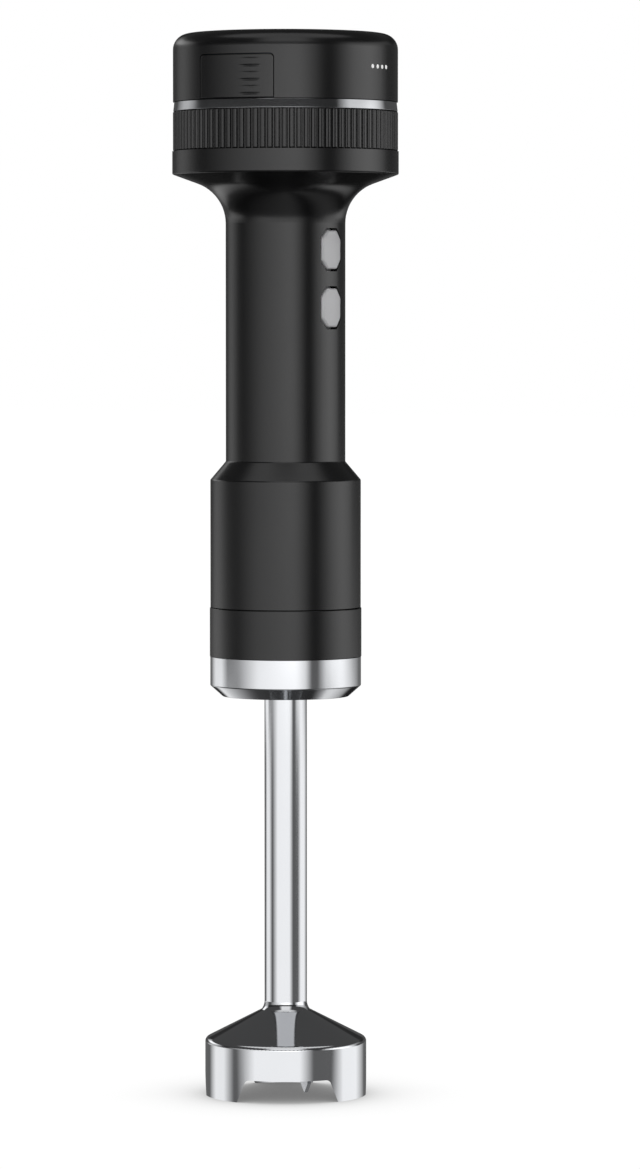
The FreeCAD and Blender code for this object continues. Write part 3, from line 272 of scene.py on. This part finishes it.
def noise(graph, place, size, detail=2.0, roughness=0.5):
    """Noise with features of that size in metres."""
    inputs = {"Vector": place, "Scale": 1 / size, "Detail": detail, "Roughness": roughness}
    return graph.node("ShaderNodeTexNoise", inputs).outputs["Fac"]


def between(graph, factor, low, high):
    made = graph.node("ShaderNodeMapRange", {"Value": factor, "To Min": low, "To Max": high})
    return made.outputs["Result"]


def tinted(graph, factor, dark, light):
    return graph.blend(factor, (*dark, 1), (*light, 1))


def moulded_plastic(name, colour, roughness, grain=0.00035, depth=0.04, specular=0.5, glow=0.0):
    """Moulded plastic: fine spark-eroded grain, with faint cloudiness in its sheen and colour."""
    material, graph = new_material(name)
    place = object_place(graph)
    cloud = noise(graph, place, 0.03)
    speck = noise(graph, place, grain, 3.0, 0.6)
    dark = tuple(channel * 0.88 for channel in colour)
    light = tuple(min(channel * 1.12, 1) for channel in colour)
    bump = graph.node("ShaderNodeBump", {"Height": speck, "Strength": depth, "Distance": 0.0001})
    sheen = graph.math("ADD", graph.math("MULTIPLY", cloud, 0.6), graph.math("MULTIPLY", speck, 0.4))
    shader = graph.node("ShaderNodeBsdfPrincipled", {
        "Base Color": tinted(graph, cloud, dark, light),
        "Roughness": between(graph, sheen, roughness - 0.05, roughness + 0.05),
        "Specular IOR Level": specular,
        "Emission Color": (1, 1, 1, 1),
        "Emission Strength": glow,
        "Normal": bump.outputs["Normal"],
    })
    graph.node("ShaderNodeOutputMaterial", {"Surface": shader.outputs[0]})
    return material


def metal(name, colour, roughness, stretch=(1, 1, 1), scratch=0.0004, depth=0.02, spread=0.04):
    """Polished or brushed metal: fine drawn lines, stretched along one axis, in its sheen and surface."""
    material, graph = new_material(name)
    lines = noise(graph, object_place(graph, stretch), scratch, 4.0, 0.65)
    cloud = noise(graph, object_place(graph), 0.02)
    dark = tuple(channel * 0.96 for channel in colour)
    bump = graph.node("ShaderNodeBump", {"Height": lines, "Strength": depth, "Distance": 0.00005})
    shader = graph.node("ShaderNodeBsdfPrincipled", {
        "Base Color": tinted(graph, cloud, dark, colour),
        "Metallic": 1.0,
        "Roughness": between(graph, lines, roughness - spread / 2, roughness + spread / 2),
        "Normal": bump.outputs["Normal"],
    })
    graph.node("ShaderNodeOutputMaterial", {"Surface": shader.outputs[0]})
    return material


def make_materials():
    return {
        "black_shell": moulded_plastic("black_shell", (0.007, 0.007, 0.0075), 0.24, specular=0.55),
        "dial_plastic": moulded_plastic("dial_plastic", (0.008, 0.008, 0.0085), 0.26, specular=0.55),
        "chrome_trim": metal("chrome_trim", (0.64, 0.65, 0.67), 0.1),
        "tube_steel": metal("tube_steel", (0.66, 0.67, 0.69), 0.08, stretch=(1, 1, 0.03), depth=0.01),
        "blade_steel": metal("blade_steel", (0.5, 0.51, 0.53), 0.25, stretch=(1, 0.1, 1), depth=0.06),
        "grey_button": moulded_plastic("grey_button", (0.88, 0.88, 0.9), 0.28),
        "light_pipe": moulded_plastic("light_pipe", (0.9, 0.9, 0.88), 0.25, glow=0.4),
        "inner_plastic": moulded_plastic("inner_plastic", (0.05, 0.05, 0.055), 0.5),
        "coupling_plastic": moulded_plastic("coupling_plastic", (0.4, 0.05, 0.03), 0.45),
        "circuit_board": moulded_plastic("circuit_board", (0.02, 0.13, 0.05), 0.3),
        "board_parts": moulded_plastic("board_parts", (0.04, 0.04, 0.045), 0.4),
        "rubber_parts": moulded_plastic("rubber_parts", (0.03, 0.03, 0.03), 0.7),
        "copper_parts": metal("copper_parts", (0.75, 0.36, 0.18), 0.3),
        "screw_steel": metal("screw_steel", (0.5, 0.5, 0.52), 0.3),
        "motor_steel": metal("motor_steel", (0.42, 0.43, 0.45), 0.35),
        "magnet_grey": moulded_plastic("magnet_grey", (0.06, 0.06, 0.065), 0.6),
        "bush_bronze": metal("bush_bronze", (0.5, 0.34, 0.15), 0.4),
        "lead_wire": moulded_plastic("lead_wire", (0.4, 0.02, 0.02), 0.5),
        "cell_sleeve": moulded_plastic("cell_sleeve", (0.03, 0.15, 0.35), 0.3),
    }


def finish_nodes(materials):
    """Every CAD node takes the material of its slot."""
    for entry in frame["record"]["subparts"]:
        mesh = NODES[entry["node"]].data
        mesh.materials.clear()
        mesh.materials.append(materials[entry["material_slot"]])


# ---- Shapes ----

def eased(outline, radius, steps=4):
    """A closed outline with its corners rounded, by that radius or as much as the sides allow."""
    points = []
    for before, corner, after in zip(outline[-1:] + outline[:-1], outline, outline[1:] + outline[:1]):
        middle = Vector(corner)
        back, ahead = Vector(before) - middle, Vector(after) - middle
        cut = radius * math.tan((math.pi - back.angle(ahead)) / 2)
        cut = min(cut, back.length * 0.45, ahead.length * 0.45)
        start, finish = middle + back.normalized() * cut, middle + ahead.normalized() * cut
        for step in range(steps + 1):
            part = step / steps
            points.append(start * (1 - part) ** 2 + middle * 2 * part * (1 - part) + finish * part ** 2)
    return points


def bridge(work, loops):
    """Quads between neighbouring closed loops of points, which all have the same count."""
    for near, far in zip(loops, loops[1:]):
        for place in range(len(near)):
            follow = (place + 1) % len(near)
            work.faces.new((near[place], near[follow], far[follow], far[place]))


def close(work, loop, centre):
    hub = work.verts.new(centre)
    for place, corner in enumerate(loop):
        work.faces.new((corner, loop[(place + 1) % len(loop)], hub))


def lathe(outline, segments=256):
    """The closed outline of (radius, z) points, turned about Z."""
    work = bmesh.new()
    loops = []
    for index in range(segments):
        turn = 2 * math.pi * index / segments
        across, along = math.cos(turn), math.sin(turn)
        loops.append([work.verts.new((reach * across, reach * along, z)) for reach, z in outline])
    bridge(work, loops + loops[:1])
    return work


def add_box(work, low, high, softening):
    """A box with all its edges rounded."""
    made = bmesh.ops.create_cube(work, size=1)["verts"]
    low, high = Vector(low), Vector(high)
    for vertex in made:
        vertex.co = (low + high) / 2 + Vector(side * span for side, span in zip(vertex.co, high - low))
    edges = list({edge for vertex in made for edge in vertex.link_edges})
    bmesh.ops.bevel(work, geom=edges, offset=softening, segments=2, profile=0.5, affect="EDGES")


def stand_in(name, work, node, materials, slot, crease=40):
    """Make the piece from its mesh, in place of that CAD node and moving with the same body."""
    bmesh.ops.recalc_face_normals(work, faces=work.faces)
    mesh = bpy.data.meshes.new(name)
    work.to_mesh(mesh)
    work.free()
    mesh.polygons.foreach_set("use_smooth", [True] * len(mesh.polygons))
    mesh.set_sharp_from_angle(angle=math.radians(crease))
    mesh.materials.append(materials[slot])
    piece = bpy.data.objects.new(name, mesh)
    bpy.context.scene.collection.objects.link(piece)
    weighted = piece.modifiers.new("weighted", "WEIGHTED_NORMAL")
    weighted.keep_sharp = True
    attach(piece, NODES[node]["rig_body"])
    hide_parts(node)


# ---- Trim ring and speed dial ----

def make_trim(materials):
    """A polished ring whose face leans back a little, with soft edges."""
    low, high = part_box("trim_ring")
    lean = 0.37 * MM
    bore = 36.5 * MM
    edge = 0.15 * MM
    segments = 384
    outline = [(bore, low.z), (high.x, low.z), (high.x - lean, high.z), (bore, high.z)]
    stand_in("trim_band", lathe(eased(outline, edge), segments), "trim_ring", materials, "chrome_trim")


def make_dial(materials):
    """The speed dial: a ring of rounded upright ribs with a narrow groove between each two."""
    low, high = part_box("dial_ring")
    ribs = 96
    columns = 12
    depth = 0.75 * MM
    bore = 38.2 * MM
    end_round = 0.45 * MM
    rib_part = 0.8
    fullness = 2.4
    height = high.z - low.z
    steps = [end_round * (1 - math.cos(math.radians(angle))) for angle in (0, 22, 45, 67, 90)]
    levels = steps + [height - step for step in reversed(steps)]
    valley = high.x - depth

    def reach(part, level):
        across = min(abs(part / rib_part * 2 - 1), 1)
        near_end = max(1 - min(level, height - level) / end_round, 0)
        return valley + depth * (1 - across ** fullness) ** (1 / fullness) * math.sqrt(1 - near_end ** 2)

    work = bmesh.new()
    loops = []
    for level in [0] + levels + [height]:
        inner = len(loops) in (0, len(levels) + 1)
        loop = []
        for index in range(ribs * columns):
            turn = 2 * math.pi * index / (ribs * columns)
            out = bore if inner else reach(index % columns / columns, level)
            loop.append(work.verts.new((out * math.cos(turn), out * math.sin(turn), low.z + level)))
        loops.append(loop)
    bridge(work, loops + loops[:1])
    stand_in("speed_dial_ring", work, "dial_ring", materials, "dial_plastic", 55)


# ---- Push buttons ----

def make_button(name, node, materials):
    """A push button: cut corners, a broad soft bevel, and a face that follows the grip."""
    low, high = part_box(node)
    lap = 1.5 * MM
    bevel = 0.8 * MM
    flange = 18.6 * MM
    thick = 1.2 * MM
    plunger = 2.0 * MM
    cut_x = 2.8 * MM
    cut_z = 3.4 * MM
    corner = 1.0 * MM
    face_radius = 23.35 * MM
    middle = (low.z + high.z) / 2
    half_x, half_z = (high.x - low.x) / 2 - lap, (high.z - low.z) / 2 - lap
    quarter = [(half_x, half_z - cut_z), (half_x - cut_x, half_z)]
    corners = quarter + [(-x, z) for x, z in reversed(quarter)]
    outline = eased(corners + [(-x, -z) for x, z in corners], corner)
    work = bmesh.new()

    def loop(scale_x, scale_z, place):
        return [work.verts.new((x * scale_x, place(x * scale_x), middle + z * scale_z)) for x, z in outline]

    def face_loop(inset, drop):
        scales = (1 - inset / half_x, 1 - inset / half_z)
        return loop(*scales, lambda x: drop - math.sqrt(face_radius ** 2 - x ** 2))

    plunger_scale = (plunger / half_x, plunger / half_z)
    flange_scale = (1 + lap / half_x, 1 + lap / half_z)
    behind = [
        loop(*plunger_scale, lambda x: high.y),
        loop(*plunger_scale, lambda x: thick - flange),
        loop(*flange_scale, lambda x: thick - flange),
        loop(*flange_scale, lambda x: -flange),
        loop(1, 1, lambda x: -flange),
    ]
    bevel_turns = [math.radians(15 * step) for step in range(7)]
    front = [face_loop(bevel * (1 - math.cos(turn)), bevel * (1 - math.sin(turn))) for turn in bevel_turns]
    face = [loop(scale * (1 - bevel / half_x), scale * (1 - bevel / half_z),
                 lambda x: -math.sqrt(face_radius ** 2 - x ** 2)) for scale in (0.97, 0.75, 0.5, 0.25)]
    bridge(work, behind + front + face)
    close(work, behind[0], (0, high.y, middle))
    close(work, face[-1], (0, -face_radius, middle))
    stand_in(name, work, node, materials, "grey_button")


# ---- Battery pack ----

HEAD_TURN = math.radians(-77.6)
PACK_RADIUS = 42.7 * MM


def make_release(materials):
    """The pack's release button: a curved panel with soft edges and tapered finger ridges."""
    low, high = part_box("release_button")
    half = 15.4 * MM
    tongue_drop = 2.4 * MM
    back = 38.9 * MM
    corner = 1.7 * MM
    edge = 0.35 * MM
    column_pitch = 0.3 * MM
    row_pitch = 0.16 * MM
    foot = low.z + tongue_drop
    height = high.z - low.z - tongue_drop
    nearby = [edge * step for step in (0, 0.12, 0.3, 0.6, 1)]

    def spread(length, pitch):
        """Places along a length, close together near its two ends."""
        count = round((length - 2 * edge) / pitch)
        even = [edge + (length - 2 * edge) * step / count for step in range(1, count)]
        return nearby + even + [length - place for place in reversed(nearby)]

    def top_at(x):
        past = max(abs(x) - half + corner, 0)
        return height - corner + math.sqrt(corner ** 2 - past ** 2)

    def fall(x, z):
        """How far the rounded edge is below the face."""
        near = min(half - abs(x), z, top_at(x) - z)
        return edge - math.sqrt(edge ** 2 - max(edge - near, 0) ** 2)

    ridge_pitch = 2.6 * MM
    ridge_foot = 1.55 * MM
    ridge_width = 1.1 * MM
    ridge_start = 1.5 * MM
    ridge_finish = 11.0 * MM
    last_ridge = 5
    tall_ridge = 0.14 * MM
    low_ridge = 0.06 * MM

    def ridge(x, z):
        step = round((z - ridge_foot) / ridge_pitch)
        beside = abs(z - ridge_foot - step * ridge_pitch) / ridge_width * 2
        along = (x - ridge_start) / (ridge_finish - ridge_start)
        if beside > 1 or not 0 < along < 1 or not 0 <= step <= last_ridge:
            return 0
        rise = tall_ridge if step % 2 == 0 else low_ridge
        return rise * math.cos(beside * math.pi / 2) ** 2 * math.sin(math.pi * along ** 1.3)

    work = bmesh.new()
    grid = []
    for across in spread(2 * half, column_pitch):
        x = across - half
        column = []
        for part in spread(height, row_pitch):
            z = part / height * top_at(x)
            out = PACK_RADIUS + ridge(x, z) - fall(x, z)
            column.append(work.verts.new((x, -math.sqrt(out ** 2 - x ** 2), foot + z)))
        grid.append(column)
    for near, far in zip(grid, grid[1:]):
        for place in range(len(near) - 1):
            work.faces.new((near[place], far[place], far[place + 1], near[place + 1]))
    border = [column[0] for column in grid] + grid[-1][1:] + [column[-1] for column in reversed(grid[:-1])]
    border += list(reversed(grid[0][1:-1]))
    rear = [work.verts.new((vertex.co.x, -back, vertex.co.z)) for vertex in border]
    bridge(work, [border, rear])
    close(work, rear, (0, -back, foot + height / 2))
    tongue_half = 5.0 * MM
    tongue_y = 31.8 * MM
    tongue_top = 4.7 * MM
    tongue_thick = 1.8 * MM
    softening = 0.2 * MM
    add_box(work, (-tongue_half, -back - tongue_thick / 2, foot + tongue_top - tongue_thick),
            (tongue_half, -tongue_y, foot + tongue_top), softening)
    add_box(work, (-tongue_half, -tongue_y - tongue_thick, low.z),
            (tongue_half, -tongue_y, foot + tongue_top), softening)
    work.transform(Matrix.Rotation(HEAD_TURN, 4, "Z"))
    stand_in("release_panel", work, "release_button", materials, "black_shell", 50)


def make_lights(materials):
    """Four light pipes with a small domed end each."""
    low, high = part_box("charge_lights")
    count = 4
    pipe = 0.58 * MM
    lens = 0.78 * MM
    dome = 0.18 * MM
    inner_end = 38.2 * MM
    proud = 0.01 * MM
    first_turn = math.radians(77.0) + HEAD_TURN
    pitch = math.radians(4.13)
    middle = (low.z + high.z) / 2
    sides = 32
    dome_steps = 6
    work = bmesh.new()
    for index in range(count):
        place = Matrix.Rotation(first_turn + pitch * index, 4, "Z")

        def loop(radius, out):
            turns = [2 * math.pi * step / sides for step in range(sides)]
            points = [(radius * math.cos(turn), -out, middle + radius * math.sin(turn)) for turn in turns]
            return [work.verts.new(place @ Vector(point)) for point in points]

        face = PACK_RADIUS + proud
        angles = [math.pi / 2 * step / dome_steps for step in range(dome_steps)]
        cap = [loop(lens * math.cos(angle), face + dome * math.sin(angle)) for angle in angles]
        loops = [loop(pipe, inner_end), loop(pipe, face)] + cap
        bridge(work, loops)
        close(work, loops[0], place @ Vector((0, -inner_end, middle)))
        close(work, loops[-1], place @ Vector((0, -face - dome, middle)))
    stand_in("light_pipes", work, "charge_lights", materials, "light_pipe")


def main():
    bpy.context.scene.view_settings.view_transform = "Standard"
    make_camera()
    make_world()
    make_floor()
    materials = make_materials()
    finish_nodes(materials)
    make_trim(materials)
    make_dial(materials)
    make_button("start_key", "start_button", materials)
    make_button("turbo_key", "turbo_button", materials)
    make_release(materials)
    make_lights(materials)


main()
